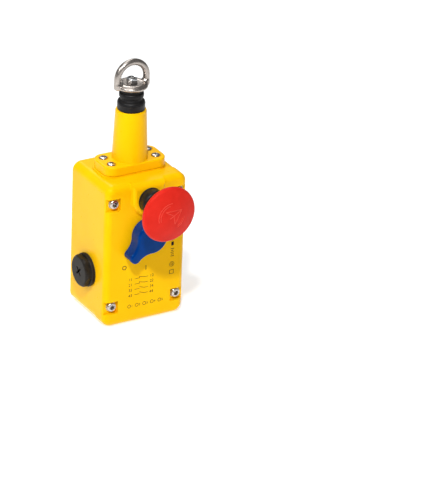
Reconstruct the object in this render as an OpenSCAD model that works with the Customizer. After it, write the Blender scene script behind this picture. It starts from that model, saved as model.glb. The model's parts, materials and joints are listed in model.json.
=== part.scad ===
// Rope pull safety switch: die-cast housing, sprung pull rod with eye,
// reset knob, emergency stop button and two contact blocks.
// +Z runs along the rope axis, -Y is the lid side, +X is to the right seen from the lid.
// The origin is on the rope axis, in the plane of the bottom face.

/* [Housing] */
// Width of the base casting
body_w = 60; // [54:1:70]
// Height of the base casting
body_h = 102.5; // [98:0.5:125]
// Depth of the base casting, from the lid joint to the back face
base_d = 36; // [34:1:46]
// Thickness of the lid, from the joint to its front face
lid_t = 13; // [12:0.5:16]
// Distance from the lid joint back to the rope axis
axis_back = 12.5; // [12.5:0.25:15]
// Wall thickness of the castings
wall = 3.5; // [3:0.25:4]
// Thickness of the front face of the lid
lid_face = 3; // [2.5:0.25:4]
// Radius of the four long corners
corner_r = 6; // [5:0.5:8]
// Fillet round the front edge of the lid
lid_edge_r = 4.5; // [2:0.25:4.75]
// How far the lid stands over the base on each side
lid_over = 0.5; // [0:0.1:1]

/* [Lid fasteners] */
// Distance of the lid screws from the side of the base
screw_inset_x = 5.5; // [4.25:0.25:7]
// Distance of the upper lid screws from the top of the base
screw_inset_top = 12; // [10:0.5:14]
// Distance of the lower lid screws from the bottom of the base
screw_inset_bottom = 14.5; // [10:0.5:16]
// Depth of the corner pockets under the lid face
pocket_depth = 2.5; // [1.5:0.25:4]
// Side of the corner pockets
pocket_side = 9; // [8.5:0.5:12]
// Radius of the lid screws' threads
lid_screw_r = 2; // [1.5:0.25:2]
// Radius of the lid screws' heads
lid_head_r = 3.6; // [3:0.2:4]

/* [Cable entries and fixing] */
// Bore radius of the cable entries
entry_r = 9.25; // [7:0.25:10]
// Wall length of the cable entries
entry_len = 5.5; // [4:0.5:8]
// Height of the side entries above the bottom face
entry_z = 33; // [28:1:38]
// Radius of the conduit plug's flange
plug_flange_r = 12.25; // [11.5:0.25:14]
// Width of the plug's hexagon across its flats
plug_hex = 21.5; // [18:0.5:23]
// Distance between the rear fixing holes across the housing
fix_x = 30; // [24:1:34]
// Distance between the rear fixing holes along the housing
fix_z = 80; // [76:1:82]
// Radius of the rear fixing holes
fix_r = 2.75; // [2:0.25:3.5]

/* [Snout] */
// Width of the snout flange
flange_w = 46; // [42:1:47]
// Depth of the snout flange, front to back
flange_d = 25; // [24:0.5:26]
// Thickness of the snout flange
flange_t = 6; // [4:0.5:9]
// Radius of the snout at its foot
snout_r_foot = 12; // [11:0.1:12.2]
// Radius of the snout at its mouth
snout_r_top = 10.4; // [9.8:0.1:11]
// Length of the snout above its flange
snout_len = 35; // [32:1:50]
// Radius of the bore for the main spring
snout_bore_r = 8.6; // [8.5:0.1:9]

/* [Pull rod] */
// Radius of the pull rod
rod_r = 4; // [3.5:0.25:4]
// Travel of the rod from slack to fully pulled
pull_travel = 12; // [8:1:12]
// Running clearance round the rod and the shafts
run_gap = 0.06; // [0.02:0.01:0.1]
// Centreline radius of the eye's bow
eye_r = 10.8; // [9:0.2:13]
// Radius of the bow's bar
eye_bar_r = 2.3; // [1.8:0.1:2.6]
// Height of the bow's straight legs
eye_leg = 3.5; // [2.5:0.5:12]
// Length of the rope gaiter between the snout and the eye
gaiter_len = 15; // [14:0.5:22]

/* [Reset knob] */
// Radius of the knob's round hub
knob_r = 11.5; // [10:0.5:12.5]
// Length of the pointer from the knob's axis
knob_len = 21.5; // [20:0.5:26]
// Width of the pointer's end
knob_tip_w = 8; // [7.5:0.5:12]
// Height of the knob
knob_t = 9.5; // [9:0.5:16]
// Distance of the knob's axis from the top of the housing
knob_drop = 37.5; // [36:0.5:40]
// Angle of the pointer at OFF, from straight down towards the left
knob_off = 45; // [30:5:60]

/* [Emergency stop] */
// Radius of the mushroom button
button_r = 19.5; // [15:0.5:24]
// Distance of the button's rim from the lid face
button_reach = 28; // [23:0.2:30]
// Distance of the button's axis from the top of the housing
estop_drop = 11.5; // [11.5:0.5:16]
// Travel of the button
estop_travel = 5; // [3:0.5:6]
// Height of the raised seat under the button
seat_t = 3.4; // [2:0.2:5]
// Width of the raised seat
seat_w = 24; // [22:1:28]

/* [Window] */
// Length of the window
window_len = 20; // [16:0.5:22]
// Width of the window
window_w = 5.2; // [4:0.2:6]
// Distance of the window from the side of the base
window_inset = 9.5; // [9:0.25:10.5]

/* [Hidden] */
$fn = 64;
eps = 0.01;

// Planes, measured from the rope axis
split_y = -axis_back;
back_y = split_y + base_d;
face_y = split_y - lid_t;
lid_w = body_w + 2 * lid_over;
lid_h = body_h + 2 * lid_over;
lid_r = corner_r + lid_over;
inner_w = body_w - 2 * wall;
inner_r = 2.5;
floor_y = back_y - wall;

// Lid screws
lid_screw_x = body_w / 2 - screw_inset_x;
lid_screw_zs = [screw_inset_bottom, body_h - screw_inset_top];
lid_boss_r = lid_screw_r + 2.5;
lid_boss_len = 15.5;
thread_depth = 8;
pocket_floor_y = face_y + pocket_depth;
pocket_drop = 0.6;
screw_hole_gap = 0.2;
lid_head_t = 2.4;

// Gasket groove in the rim of the base
groove_w = 1.3;
groove_depth = 1.2;
groove_inset = 0.7;

// Snout
pad_t = 1.4;
pad_rim = 1;
gasket_t = 0.4;
gasket_inset = 0.8;
flange_z = body_h + pad_t + gasket_t;
snout_foot_z = flange_z + flange_t;
snout_top_z = snout_foot_z + snout_len;
flange_r = 7.5;
foot_fillet = min(2, flange_d / 2 - snout_r_foot - 0.2);
flange_screw_x = flange_w / 2 - 6.25;
flange_screw_y = flange_d / 2 - 7;
flange_screw_r = 1.5;
flange_head_r = 2.9;
flange_head_t = 1.7;
flange_boss_len = 5;
mouth_hole_r = snout_bore_r + 0.4;

// Guide bush at the mouth of the snout
bush_len = 8;
bush_z = snout_top_z - bush_len;

// Pull rod, from the eye down
eye_plate_z = snout_top_z + gaiter_len;
eye_plate_t = 3.8;
eye_plate_r = eye_r + 0.2;
stud_r = 2;
nut_hex = 7;
nut_t = 4;
stud_top_z = eye_plate_z + eye_plate_t + nut_t - 0.8;
plate_z = body_h - 8;
plate_t = 2;
plate_r = snout_bore_r - 0.4;
clip_t = 1.2;
clip_r = rod_r + 1.6;
clip_groove_r = rod_r - 0.6;
cam_top_z = plate_z - clip_t - 4.8;
cam_len = 28;
cam_bottom_z = cam_top_z - cam_len;
cam_r_top = rod_r + 1;
cam_r_bottom = cam_r_top + 3;
cam_slope = (cam_r_bottom - cam_r_top) / cam_len;
rod_bottom_z = cam_bottom_z - clip_t - 3.8;

// Contact blocks and their plungers
chassis_t = 1.5;
chassis_pad = 1;
chassis_y = floor_y - chassis_pad - chassis_t;
chassis_w = inner_w - 3;
chassis_h = cam_len + 4;
chassis_z = cam_top_z - cam_len - 8;
chassis_inset = 4;
chassis_boss_r = 3.2;
chassis_screw_r = 1.2;
chassis_head_r = 1.9;
chassis_head_t = 1;
rod_window_r = 5;
block_gap = 2;
block_x = cam_r_bottom + 1;
block_w = inner_w / 2 - block_x - block_gap;
block_d = chassis_y + 3;
block_z = chassis_z + 3;
block_h = chassis_h - 4;
block_step = 4;
block_groove = 1.2;
plunger_z = (cam_top_z + cam_bottom_z) / 2;
plunger_r = 2;
plunger_gap = 0.3;
plunger_len = 7.4;
plunger_x = cam_r_top + cam_slope * (cam_top_z - plunger_z) + plunger_gap;
terminal_r = 1.5;
terminal_head_r = 2.4;
terminal_head_t = 1.2;
terminal_inset = 2.6;
terminal_spots = [0.28, 0.76];
earth_z = 20;
earth_boss_r = 3.5;
earth_boss_len = 5;
earth_screw_r = 1.75;

// Tension pointer: an arm on the rod's foot that ends in a flag behind the window
arm_z = cam_bottom_z - clip_t - 2.2;
arm_t = 2;
arm_w = 4;
arm_y = split_y + 1.8;
window_x = body_w / 2 - window_inset;
flag_t = 1.2;
flag_w = 6;
flag_h = 14;
flag_y = face_y + lid_face + 3.4;

// Reset knob
knob_z = body_h - knob_drop;
knob_gap = 0.5;
knob_edge = 2.8;
knob_tip_r = 3.4;
knob_neck_r = 12;
shaft_r = 4;
knob_boss_r = 7.5;
knob_boss_len = 3.5;
knob_socket = 7;
seal_bar_r = 0.9;
seal_r = shaft_r + 0.3 + seal_bar_r;
seal_seat_r = seal_r + seal_bar_r + 0.3;
seal_seat_t = 2 * seal_bar_r + 0.4;
latch_t = 5;
latch_r = 8;
latch_y = face_y + lid_face + knob_boss_len + 0.5;
knob_clip_y = latch_y + latch_t + 0.1;
shaft_end_y = knob_clip_y + clip_t + 0.6;

// Emergency stop
estop_z = body_h - estop_drop;
seat_y = face_y - seat_t;
seat_fillet = 2.6;
seat_roll = 5;
button_y = face_y - button_reach;
button_rim = 2.3;
button_crown = 3.4;
button_hub_r = 7.8;
button_hub_y = button_y + 5.2;
stem_r = 3.5;
bush_r = 6;
bush_front_y = seat_y - 1.1;
bush_back_y = face_y + lid_face + 4.5;
stem_end_y = bush_back_y + 1.9;
estop_boss_r = 9;

// Window
window_z = knob_z;
lens_gap = 0.1;
lens_t = 1.8;
lens_sink = 0.6;
lens_rim = 1;

// Places a solid drawn flat, with its Z towards the lid side, on the plane at depth y
module facing(y) {
    translate([0, y, 0]) rotate([90, 0, 0]) children();
}

// Rectangle with rounded corners, standing on the X axis
module plate_outline(w, h, r, z0 = 0) {
    translate([-w / 2 + r, z0]) square([w - 2 * r, h]);
    translate([-w / 2, z0 + r]) square([w, h - 2 * r]);
    for (sx = [-1, 1])
        for (z = [z0 + r, z0 + h - r])
            translate([sx * (w / 2 - r), z]) circle(r);
}

// Half section of a slab of thickness t whose top edge has the fillet f
module filleted_half(r, t, f) {
    square([r - f, t]);
    square([r, t - f]);
    intersection() {
        translate([r - f, t - f]) circle(f);
        square([r, t]);
    }
}

// Round disc with a fillet on its top edge
module round_pad(r, t, f) {
    rotate_extrude() filleted_half(r, t, f);
}

// Straight bar along Y, from y0 to y1, with filleted top edges
module bar_pad(w, y0, y1, t, f) {
    translate([0, y1, 0]) rotate([90, 0, 0]) linear_extrude(y1 - y0)
        for (m = [0, 1]) mirror([m, 0]) filleted_half(w / 2, t, f);
}

// Slab with round corners r and a fillet f on its top edge
module filleted_slab(w, h, r, t, f, z0 = 0) {
    for (sx = [-1, 1])
        for (z = [z0 + r, z0 + h - r])
            translate([sx * (w / 2 - r), z, 0]) round_pad(r, t, f);
    bar_pad(w, z0 + r, z0 + h - r, t, f);
    translate([0, z0 + h / 2, 0]) rotate([0, 0, 90]) bar_pad(h, r - w / 2, w / 2 - r, t, f);
}

// Ring of round wire in the plane z = 0
module wire_ring(r, bar_r) {
    rotate_extrude() translate([r, 0]) circle(bar_r, $fn = 32);
}

// Retaining ring with an open side
module circlip(inner, outer, t) {
    difference() {
        cylinder(r = outer, h = t);
        translate([0, 0, -eps]) cylinder(r = inner, h = t + 2 * eps);
        translate([-inner * 0.6, 0, -eps]) cube([inner * 1.2, outer + 1, t + 2 * eps]);
    }
}

// Helical compression spring from z = 0 to z = len
module coil_spring(r, bar_r, len, turns) {
    steps = 14 * turns;
    sides = 6;
    function centre_z(i) = bar_r + (len - 2 * bar_r) * i / steps;
    function ring(i) = [for (k = [0:sides - 1])
        let (a = 360 * k / sides, t = 360 * turns * i / steps, q = r + bar_r * cos(a))
        [q * cos(t), q * sin(t), centre_z(i) + bar_r * sin(a)]];
    skin = [for (i = [0:steps - 1]) for (k = [0:sides - 1])
        let (n = (k + 1) % sides)
        [i * sides + k, (i + 1) * sides + k, (i + 1) * sides + n, i * sides + n]];
    polyhedron(
        points = [for (i = [0:steps]) each ring(i)],
        faces = concat(skin, [[for (k = [0:sides - 1]) k]],
            [[for (k = [sides - 1:-1:0]) steps * sides + k]]));
}

// Pan-head screw: the head stands on z = 0, the shank goes down
module pan_screw(head_r, head_t, shank_r, shank_len) {
    difference() {
        round_pad(head_r, head_t, head_t * 0.55);
        translate([0, 0, head_t * 0.45]) for (a = [0, 90]) rotate([0, 0, a])
            translate([-head_r * 0.55, -head_r * 0.13, 0])
                cube([head_r * 1.1, head_r * 0.26, head_t]);
    }
    translate([0, 0, -shank_len]) cylinder(r = shank_r, h = shank_len + eps);
}

// Calls its children at the four lid screws, drawn flat
module at_lid_screws() {
    for (sx = [-1, 1])
        for (z = lid_screw_zs)
            translate([sx * lid_screw_x, z, 0]) children();
}

// Calls its children at the four flange screws
module at_flange_screws() {
    for (sx = [-1, 1])
        for (sy = [-1, 1])
            translate([sx * flange_screw_x, sy * flange_screw_y, 0]) children();
}

// Calls its children at the four rear fixing holes, drawn flat
module at_fixings() {
    for (sx = [-1, 1])
        for (z = [body_h / 2 - 2 - fix_z / 2, body_h / 2 - 2 + fix_z / 2])
            translate([sx * fix_x / 2, z, 0]) children();
}

// Calls its children at the four corners of the chassis plate, drawn flat
module at_chassis_corners() {
    for (x = [-1, 1])
        for (z = [chassis_z + chassis_inset, chassis_z + chassis_h - chassis_inset])
            translate([x * (chassis_w / 2 - chassis_inset), z, 0]) children();
}

// Calls its children at each cable entry, with Z pointing out of its mouth
module at_entries() {
    rotate([180, 0, 0]) children();
    for (s = [-1, 1])
        translate([s * body_w / 2, 0, entry_z]) rotate([0, s * 90, 0]) children();
}

module entry_boss() {
    translate([0, 0, -entry_len]) cylinder(r = entry_r + 3, h = entry_len - 1);
}

module entry_bore() {
    translate([0, 0, -entry_len - 1]) cylinder(r = entry_r, h = entry_len + 2);
}

// Base casting: an open box with a gasket rim, three cable entries and inner bosses
module base_housing() {
    color("gold") difference() {
        union() {
            difference() {
                facing(back_y) linear_extrude(base_d) plate_outline(body_w, body_h, corner_r);
                facing(floor_y) linear_extrude(base_d)
                    plate_outline(inner_w, body_h - 2 * wall, inner_r, wall);
            }
            facing(floor_y) intersection() {
                translate([0, 0, floor_y - split_y - lid_boss_len]) at_lid_screws()
                    cylinder(r = lid_boss_r, h = lid_boss_len);
                linear_extrude(base_d) plate_outline(body_w - wall, body_h - wall, corner_r, wall / 2);
            }
            at_entries() entry_boss();
            translate([0, 0, body_h - wall - flange_boss_len]) at_flange_screws()
                cylinder(r = flange_screw_r + 2, h = flange_boss_len + 1);
            facing(floor_y + 1) at_chassis_corners() cylinder(r = chassis_boss_r, h = chassis_pad + 1);
            facing(floor_y + 1) translate([0, earth_z, 0])
                cylinder(r = earth_boss_r, h = earth_boss_len + 1);
            translate([0, 0, body_h - 1]) linear_extrude(pad_t + 1) translate([0, split_y])
                plate_outline(flange_w + 2 * pad_rim, flange_d / 2 - split_y + pad_rim, flange_r + pad_rim);
        }
        at_entries() entry_bore();
        translate([0, 0, body_h - wall - 1]) cylinder(r = mouth_hole_r, h = wall + pad_t + 2);
        facing(back_y + 1) at_fixings() cylinder(r = fix_r, h = wall + 2);
        facing(floor_y) translate([0, 0, floor_y - split_y - lid_boss_len + 3]) at_lid_screws()
            cylinder(r = lid_screw_r - 0.3, h = lid_boss_len);
        translate([0, 0, body_h - wall - flange_boss_len + 1]) at_flange_screws()
            cylinder(r = flange_screw_r - 0.2, h = flange_boss_len + wall + pad_t);
        facing(floor_y + 2) at_chassis_corners() cylinder(r = chassis_screw_r + 0.05, h = 6);
        facing(floor_y + 1) translate([0, earth_z, 0])
            cylinder(r = earth_screw_r, h = earth_boss_len + 4);
        facing(split_y + groove_depth) linear_extrude(groove_depth + 1) difference() {
            plate_outline(body_w - 2 * groove_inset, body_h - 2 * groove_inset,
                corner_r - groove_inset, groove_inset);
            plate_outline(body_w - 2 * (groove_inset + groove_w), body_h - 2 * (groove_inset + groove_w),
                corner_r - groove_inset - groove_w, groove_inset + groove_w);
        }
    }
}

// Raised seat under the button: it runs out through the top edge of the lid
module estop_seat() {
    run = lid_h - lid_over - estop_z;
    intersection() {
        union() {
            round_pad(seat_w / 2, lid_t + seat_t, seat_fillet);
            translate([0, run / 2 + 1, 0]) bar_pad(seat_w, -run / 2 - 1, run, lid_t + seat_t, seat_fillet);
        }
        translate([0, run - seat_w, 0]) rotate([0, 0, 90])
            bar_pad(2 * seat_w, -seat_w, seat_w, lid_t + seat_t, seat_roll);
    }
}

// Lid casting
module lid() {
    color("gold") difference() {
        facing(split_y) difference() {
            union() {
                filleted_slab(lid_w, lid_h, lid_r, lid_t, lid_edge_r, -lid_over);
                translate([0, estop_z, 0]) estop_seat();
            }
            difference() {
                translate([0, 0, -1]) linear_extrude(lid_t - lid_face + 1)
                    plate_outline(inner_w, body_h - 2 * wall, inner_r, wall);
                at_lid_screws() cylinder(r = lid_boss_r, h = lid_t);
                translate([0, knob_z, lid_t - lid_face - knob_boss_len])
                    cylinder(r = knob_boss_r, h = lid_t);
                translate([0, estop_z, lid_t - lid_face - 3]) cylinder(r = estop_boss_r, h = lid_t);
            }
            for (sx = [-1, 1]) for (z = lid_screw_zs)
                translate([sx * lid_screw_x - pocket_side / 2 + (sx > 0 ? 0 : -pocket_side),
                    z - pocket_side / 2 - pocket_drop, lid_t - pocket_depth])
                    cube([2 * pocket_side, pocket_side, pocket_depth + 1]);
            translate([0, 0, -1]) at_lid_screws()
                cylinder(r = lid_screw_r + screw_hole_gap, h = lid_t + 2);
            translate([0, knob_z, -1]) cylinder(r = shaft_r + run_gap, h = lid_t + 2);
            translate([0, knob_z, lid_t - seal_seat_t]) cylinder(r = seal_seat_r, h = seal_seat_t + 1);
            translate([0, estop_z, -1]) cylinder(r = bush_r + run_gap, h = lid_t + seat_t + 2);
            translate([window_x, window_z, 0]) {
                slot_bar(window_len, window_w, lid_t + 1);
                translate([0, 0, -1]) slot_bar(window_len + 2 * lens_rim, window_w + 2 * lens_rim,
                    lid_t - lens_sink - lens_t / 2 + 1);
            }
        }
    }
}

// Upright bar with round ends, standing on z = 0
module slot_bar(len, w, t) {
    linear_extrude(t) {
        translate([-w / 2, -(len - w) / 2]) square([w, len - w]);
        for (s = [-1, 1]) translate([0, s * (len - w) / 2]) circle(w / 2);
    }
}

// Sealing cord in the rim of the base
module lid_gasket() {
    slack = 0.1;
    color("dimgray") facing(split_y + groove_depth) linear_extrude(groove_depth) difference() {
        plate_outline(body_w - 2 * (groove_inset + slack), body_h - 2 * (groove_inset + slack),
            corner_r - groove_inset - slack, groove_inset + slack);
        plate_outline(body_w - 2 * (groove_inset + groove_w - slack),
            body_h - 2 * (groove_inset + groove_w - slack),
            corner_r - groove_inset - groove_w + slack, groove_inset + groove_w - slack);
    }
}

module lid_screws() {
    reach = pocket_floor_y - split_y;
    color("silver") facing(pocket_floor_y) at_lid_screws()
        pan_screw(lid_head_r, lid_head_t, lid_screw_r - 0.35, -reach + thread_depth);
}

// Snout: the turret that guides the rod, with its flange
module snout() {
    color("gold") difference() {
        union() {
            translate([0, 0, flange_z]) translate([0, -flange_d / 2, 0])
                filleted_slab(flange_w, flange_d, flange_r, flange_t, 1);
            translate([0, 0, snout_foot_z - eps]) rotate_extrude() polygon([[0, 0],
                [snout_r_foot + foot_fillet, 0], [snout_r_foot + foot_fillet * 0.42, foot_fillet * 0.15],
                [snout_r_foot + foot_fillet * 0.12, foot_fillet * 0.5], [snout_r_foot, foot_fillet],
                [snout_r_top + 0.05, snout_len - 1], [snout_r_top - 0.5, snout_len + eps],
                [0, snout_len + eps]]);
        }
        translate([0, 0, flange_z - 1]) cylinder(r = snout_bore_r, h = snout_len + flange_t + 2);
        translate([0, 0, flange_z - 1]) at_flange_screws()
            cylinder(r = flange_screw_r + screw_hole_gap, h = flange_t + 2);
        translate([0, 0, snout_foot_z - 0.8]) at_flange_screws()
            cylinder(r = flange_head_r + 0.5, h = 3);
    }
}

module snout_gasket() {
    color("dimgray") translate([0, 0, body_h + pad_t]) linear_extrude(gasket_t) difference() {
        translate([0, gasket_inset - flange_d / 2])
            plate_outline(flange_w - 2 * gasket_inset, flange_d - 2 * gasket_inset, flange_r - gasket_inset);
        circle(mouth_hole_r);
        at_flange_screws() circle(flange_screw_r + screw_hole_gap);
    }
}

module snout_screws() {
    color("silver") translate([0, 0, snout_foot_z - 0.8]) at_flange_screws()
        pan_screw(flange_head_r, flange_head_t, flange_screw_r - 0.3,
            flange_t + gasket_t + pad_t + wall + flange_boss_len - 3);
}

// Guide bush pressed into the mouth of the snout
module rod_bush() {
    color("tan") translate([0, 0, bush_z]) difference() {
        cylinder(r = snout_bore_r - 0.02, h = bush_len - 0.3);
        translate([0, 0, -1]) cylinder(r = rod_r + run_gap, h = bush_len + 2);
    }
}

// Blanking plug with a hexagon, a flange and a cross slot
module conduit_plug() {
    head_t = 4;
    flange_h = 2;
    slot_w = 1.6;
    slot_len = 8;
    color("#222222") translate([-body_w / 2 - 0.8, 0, entry_z]) rotate([0, -90, 0]) difference() {
        union() {
            round_pad(plug_flange_r, flange_h, 1);
            intersection() {
                translate([0, 0, flange_h - eps]) rotate([0, 0, 30])
                    cylinder(d = plug_hex / cos(30), h = head_t, $fn = 6);
                round_pad(plug_hex / 2 + 1, flange_h + head_t, 2.2);
            }
            translate([0, 0, -11]) cylinder(r = entry_r - 0.06, h = 11 + eps);
        }
        translate([0, 0, -12]) cylinder(r = entry_r - 2, h = 9.5);
        for (a = [45, 135]) rotate([0, 0, a])
            translate([-slot_len / 2, -slot_w / 2, flange_h + head_t - 1.8])
                cube([slot_len, slot_w, 3]);
    }
}

module plug_seal() {
    color("#111111") translate([-body_w / 2, 0, entry_z]) rotate([0, -90, 0]) difference() {
        cylinder(r = plug_flange_r - 0.8, h = 0.8);
        translate([0, 0, -1]) cylinder(r = entry_r + 1.2, h = 3);
    }
}

// Steel plate that carries the contact blocks
module chassis_plate() {
    color("lightgray") facing(chassis_y + chassis_t) difference() {
        linear_extrude(chassis_t) plate_outline(chassis_w, chassis_h, 2, chassis_z);
        translate([0, 0, -1]) at_chassis_corners() cylinder(r = chassis_screw_r + 0.5, h = chassis_t + 2);
        translate([0, chassis_z + chassis_h / 2, -1]) cylinder(r = rod_window_r, h = chassis_t + 2);
    }
}

module chassis_screws() {
    color("silver") facing(chassis_y) at_chassis_corners()
        pan_screw(chassis_head_r, chassis_head_t, chassis_screw_r, chassis_t + chassis_pad + wall * 0.3);
}

// Calls its children at the terminals of the right block, with Z towards the lid
module at_terminals(y) {
    for (x = terminal_spots)
        for (z = [block_z + terminal_inset, block_z + block_h - terminal_inset])
            translate([block_x + block_w * x, y, z]) rotate([90, 0, 0]) children();
}

// Contact block on the right; the left one is its mirror image
module contact_block() {
    front_y = chassis_y - block_d;
    difference() {
        translate([block_x, front_y, block_z]) difference() {
            cube([block_w, block_d - 0.05, block_h]);
            for (z = [-1, block_h - 2 * terminal_inset])
                translate([-1, -1, z]) cube([block_w + 2, block_step + 1, 2 * terminal_inset + 1]);
        }
        translate([block_x - 1, 0, plunger_z]) rotate([0, 90, 0])
            cylinder(r = plunger_r + run_gap, h = plunger_len + 2.5);
        for (z = [block_z + block_h * 0.3, block_z + block_h * 0.7])
            translate([block_x - 1, front_y + block_d * 0.48, z - block_groove / 2])
                cube([block_w + 2, block_d * 0.4, block_groove]);
        at_terminals(front_y + block_step + 4) cylinder(r = terminal_r + 0.02, h = 5);
        for (z = [chassis_z + chassis_inset, chassis_z + chassis_h - chassis_inset])
            translate([chassis_w / 2 - chassis_inset, chassis_y + 1, z]) rotate([90, 0, 0])
                cylinder(r = chassis_head_r + 0.5, h = chassis_head_t + 2);
    }
}

module contact_block_right() {
    color("#2b2b2b") contact_block();
}

module contact_block_left() {
    color("#2b2b2b") mirror([1, 0, 0]) contact_block();
}

module terminal_screws() {
    color("silver") for (m = [0, 1]) mirror([m, 0, 0])
        at_terminals(chassis_y - block_d + block_step)
            pan_screw(terminal_head_r, terminal_head_t, terminal_r, 3);
}

// Protective earth screw with its washer
module earth_screw() {
    washer_t = 0.8;
    color("silver") facing(floor_y - earth_boss_len) translate([0, earth_z, 0]) {
        difference() {
            cylinder(r = earth_boss_r + 0.5, h = washer_t);
            translate([0, 0, -1]) cylinder(r = earth_screw_r + 0.05, h = washer_t + 2);
        }
        translate([0, 0, washer_t])
            pan_screw(earth_boss_r - 0.3, 1.8, earth_screw_r - 0.05, earth_boss_len + 1);
    }
}

// Clear lens, let into the window from behind
module window_lens() {
    color([0.75, 0.8, 0.8, 0.5]) facing(split_y) translate([window_x, window_z, 0]) {
        translate([0, 0, lid_t - lens_sink - lens_t / 2 - eps])
            slot_bar(window_len - 2 * lens_gap, window_w - 2 * lens_gap, lens_t / 2 + eps);
        translate([0, 0, lid_t - lens_sink - lens_t])
            slot_bar(window_len + 2 * (lens_rim - lens_gap), window_w + 2 * (lens_rim - lens_gap),
                lens_t / 2);
    }
}

// Guide of the button's stem
module estop_bush() {
    color("#333333") facing(bush_back_y) translate([0, estop_z, 0]) difference() {
        union() {
            cylinder(r = bush_r, h = bush_back_y - bush_front_y);
            translate([0, 0, bush_back_y - seat_y]) cylinder(r = bush_r + 0.6, h = seat_y - bush_front_y);
            difference() {
                    cylinder(r = bush_r + 1.5, h = 1.4);
                translate([0, 0, -1]) cylinder(r = bush_r - 1, h = 4);
            }
        }
        translate([0, 0, -1]) cylinder(r = stem_r + run_gap, h = 40);
    }
}

module knob_seal() {
    color("#111111") facing(face_y + seal_seat_t - seal_bar_r - 0.2) translate([0, knob_z, 0])
        wire_ring(seal_r, seal_bar_r);
}

// Rubber gaiter between the snout and the eye
module rope_gaiter() {
    neck_r = 6.8;
    bore_r = rod_r + 1.2;
    skirt = gaiter_len * 0.62;
    ring_r = 7.8;
    color("#1a1a1a") translate([0, 0, snout_top_z]) rotate_extrude() difference() {
        union() {
            translate([0, 0.02]) square([9.1, skirt - 2.5]);
            translate([0, skirt - 2.5]) square([6.6, 2.5]);
            translate([6.6, skirt - 2.5]) circle(2.5, $fn = 32);
            square([neck_r, gaiter_len - 0.3]);
            translate([0, skirt + 1.2]) square([ring_r - 1, 2.4]);
            translate([ring_r - 1.2, skirt + 2.4]) circle(1.2, $fn = 32);
            translate([0, gaiter_len - 1.5]) square([ring_r, 1.2]);
        }
        translate([-10, -5]) square([10 + bore_r, gaiter_len + 10]);
        translate([-10, -5]) square([40, 5.02]);
    }
}

// Main return spring, between the guide bush and the plate on the rod
module main_spring() {
    spring_r = (rod_r + snout_bore_r) / 2;
    color("silver") translate([0, 0, plate_z + plate_t + 0.3])
        coil_spring(spring_r, 1.1, bush_z - plate_z - plate_t - 0.6, 9);
}

// Rubber gaiter between the lid and the button
module estop_gaiter() {
    reach = seat_y - button_hub_y;
    bulge_r = 8.8;
    neck_r = 7.2;
    bore_r = bush_r + 1;
    bulge_len = reach * 0.52;
    color("#1a1a1a") facing(seat_y) translate([0, estop_z, 0]) rotate_extrude() difference() {
        union() {
            square([bulge_r - 0.4, bulge_len - 2.6]);
            translate([0, 1]) square([bulge_r, bulge_len - 3.6]);
            translate([0, bulge_len - 2.6]) square([bulge_r - 2.6, 2.6]);
            translate([bulge_r - 2.6, bulge_len - 2.6]) circle(2.6, $fn = 32);
            square([neck_r + 0.9, reach - 3]);
            square([neck_r + 0.9, reach - 0.3]);
        }
        translate([-10, -5]) square([10 + bore_r, reach + 10]);
        translate([neck_r + 1.6, bulge_len + 1.6]) circle(1.4, $fn = 32);
    }
}

// Return spring of the button
module estop_spring() {
    spring_r = stem_r + 1.4;
    color("silver") facing(bush_front_y - 0.3) translate([0, estop_z, 0])
        coil_spring(spring_r, 0.6, bush_front_y - button_hub_y - 0.6, 6);
}

// Pull rod with the stud for the eye, two clip grooves and its foot
module pull_rod() {
    color("silver") difference() {
        union() {
            translate([0, 0, rod_bottom_z]) cylinder(r = rod_r, h = eye_plate_z - rod_bottom_z);
            translate([0, 0, eye_plate_z - eps]) cylinder(r = stud_r, h = stud_top_z - eye_plate_z);
        }
        for (z = [plate_z - clip_t, cam_bottom_z - clip_t])
            translate([0, 0, z]) difference() {
                cylinder(r = rod_r + 1, h = clip_t);
                translate([0, 0, -1]) cylinder(r = clip_groove_r, h = clip_t + 2);
            }
    }
}

// Eye nut: a round plate with a bow
module eye_nut() {
    bow_z = eye_plate_z + eye_plate_t + eye_leg;
    color("silver") difference() {
        union() {
            translate([0, 0, eye_plate_z]) rotate_extrude() polygon([[0, 0], [eye_plate_r - 1.6, 0],
                [eye_plate_r, 1.3], [eye_plate_r, eye_plate_t - 0.8], [eye_plate_r - 0.8, eye_plate_t],
                [0, eye_plate_t]]);
            translate([0, 0, bow_z]) rotate([90, 0, 0]) rotate_extrude(angle = 180)
                translate([eye_r, 0]) circle(eye_bar_r, $fn = 32);
            for (s = [-1, 1]) translate([s * eye_r, 0, eye_plate_z + eye_bar_r])
                cylinder(r = eye_bar_r, h = bow_z - eye_plate_z - eye_bar_r);
            for (s = [-1, 1]) translate([s * eye_r, 0, eye_plate_z + eye_bar_r]) sphere(eye_bar_r, $fn = 32);
        }
        translate([0, 0, eye_plate_z - 1]) cylinder(r = stud_r + 0.05, h = eye_plate_t + 2);
    }
}

// Hexagon nut inside the bow
module lock_nut() {
    color("gainsboro") translate([0, 0, eye_plate_z + eye_plate_t]) difference() {
        intersection() {
            cylinder(d = nut_hex / cos(30), h = nut_t, $fn = 6);
            round_pad(nut_hex / 2 + 0.5, nut_t, 0.6);
        }
        translate([0, 0, -1]) cylinder(r = stud_r + 0.02, h = nut_t + 2);
    }
}

// Plate on the rod that the main spring presses on
module spring_plate() {
    color("silver") translate([0, 0, plate_z]) difference() {
        cylinder(r = plate_r, h = plate_t);
        translate([0, 0, -1]) cylinder(r = rod_r + 0.03, h = plate_t + 2);
    }
}

module rod_circlips() {
    color("dimgray") for (z = [plate_z - clip_t, cam_bottom_z - clip_t])
        translate([0, 0, z + 0.05]) circlip(clip_groove_r + 0.03, clip_r, clip_t - 0.1);
}

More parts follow.
